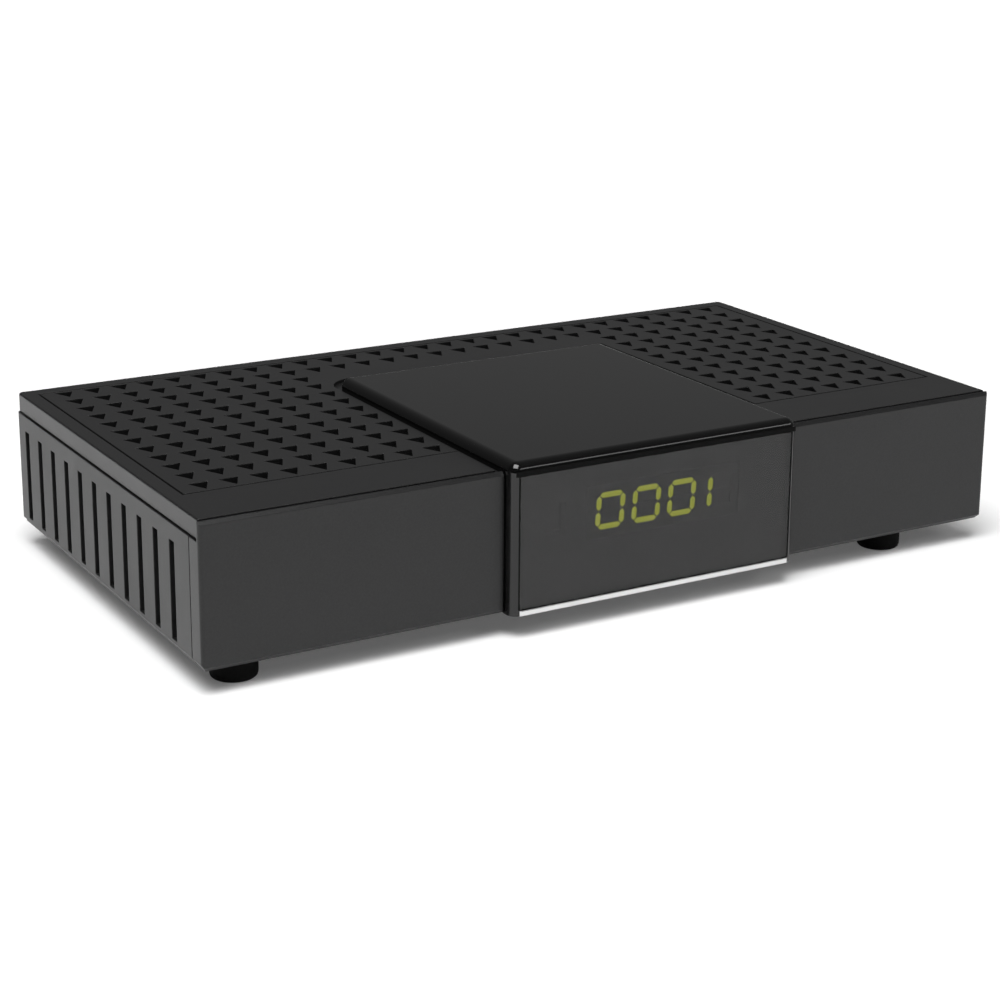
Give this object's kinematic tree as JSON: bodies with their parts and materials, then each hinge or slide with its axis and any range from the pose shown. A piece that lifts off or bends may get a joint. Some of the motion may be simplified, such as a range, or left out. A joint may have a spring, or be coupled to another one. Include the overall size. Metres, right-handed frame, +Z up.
{
  "type": "satellite tv receiver",
  "caption": "Low flat box receiver with a raised glossy saddle over its middle, a lit digit display behind a smoked window, a triangular vent grille, rear sockets and a rocker switch.",
  "frame": {"origin": "on the surface that it stands on, under the middle of its outer box", "axes": "+X to the right as seen from the front, the front faces -Y, +Z up"},
  "size_m": [0.22, 0.1318, 0.0424],
  "materials": {
    "housing_black": "fine satin grain, moulded",
    "gloss_black": "polished, moulded",
    "smoked_window": "smoked acrylic, polished",
    "bright_trim": "bright plated",
    "foot_rubber": "matt",
    "screw_steel": "zinc plated",
    "plate_black": "black powder coat",
    "tin_plate": "tin plated, folded",
    "nickel": "nickel plated, turned",
    "socket_black": "moulded",
    "rocker_black": "moulded",
    "contact_metal": "tinned strip",
    "board_green": "glass-fibre laminate with solder mask",
    "module_black": "cast face",
    "segment_lit": "glowing yellow-green",
    "segment_dark": "unlit",
    "infrared_black": "infrared-clear, dark",
    "key_black": "moulded",
    "plunger_white": "moulded",
    "chip_black": "moulded package",
    "sink_aluminium": "extruded",
    "can_aluminium": "drawn can in a sleeve",
    "cable_grey": "flat cable jacket",
    "white_nylon": "moulded"
  },
  "bodies": {
    "housing": {"base_shell": "housing_black", "top_cover": "housing_black", "front_bezel": "housing_black", "centre_panel": "gloss_black", "display_window": "smoked_window", "chrome_strip": "bright_trim", "rear_panel": "plate_black", "foot_front_left": "foot_rubber", "foot_front_right": "foot_rubber", "foot_rear_left": "foot_rubber", "foot_rear_right": "foot_rubber", "case_screws": "screw_steel", "main_board": "board_green", "board_screws": "screw_steel", "front_board": "board_green", "led_module": "module_black", "lit_segments": "segment_lit", "dark_segments": "segment_dark", "infrared_receiver": "infrared_black", "key_switch": "socket_black", "cable_plugs": "white_nylon", "flat_cable": "cable_grey", "tuner_can": "tin_plate", "coax_connector": "nickel", "coax_dielectric": "white_nylon", "coax_nut": "nickel", "usb_shell": "tin_plate", "usb_tongue": "socket_black", "hdmi_shell": "tin_plate", "hdmi_tongue": "socket_black", "scart_socket": "socket_black", "scart_contacts": "contact_metal", "audio_jack_block": "socket_black", "audio_jack_sleeve": "nickel", "audio_jack_core": "socket_black", "supply_inlet": "socket_black", "supply_pin": "nickel", "power_switch": "socket_black", "switch_terminals": "contact_metal", "processor": "chip_black", "heat_sink": "sink_aluminium", "memory_chips": "chip_black", "crystal": "tin_plate", "power_chokes": "chip_black", "capacitors": "can_aluminium", "regulators": "chip_black"},
    "rocker": {"power_rocker": "rocker_black"},
    "key": {"standby_key": "key_black", "key_plunger": "plunger_white"}
  },
  "joints": [
    {"name": "rocker_tilt", "type": "hinge", "parent": "housing", "child": "rocker", "pos_m": [-0.085, 0.05555, 0.0236], "axis": [1, 0, 0], "range_deg": [0, 19.6]},
    {"name": "key_press", "type": "slide", "parent": "housing", "child": "key", "axis": [-1, 0, 0], "range_m": [0, 0.0005], "stiffness_N_per_m": 1000, "springref_m": -0.001}
  ]
}
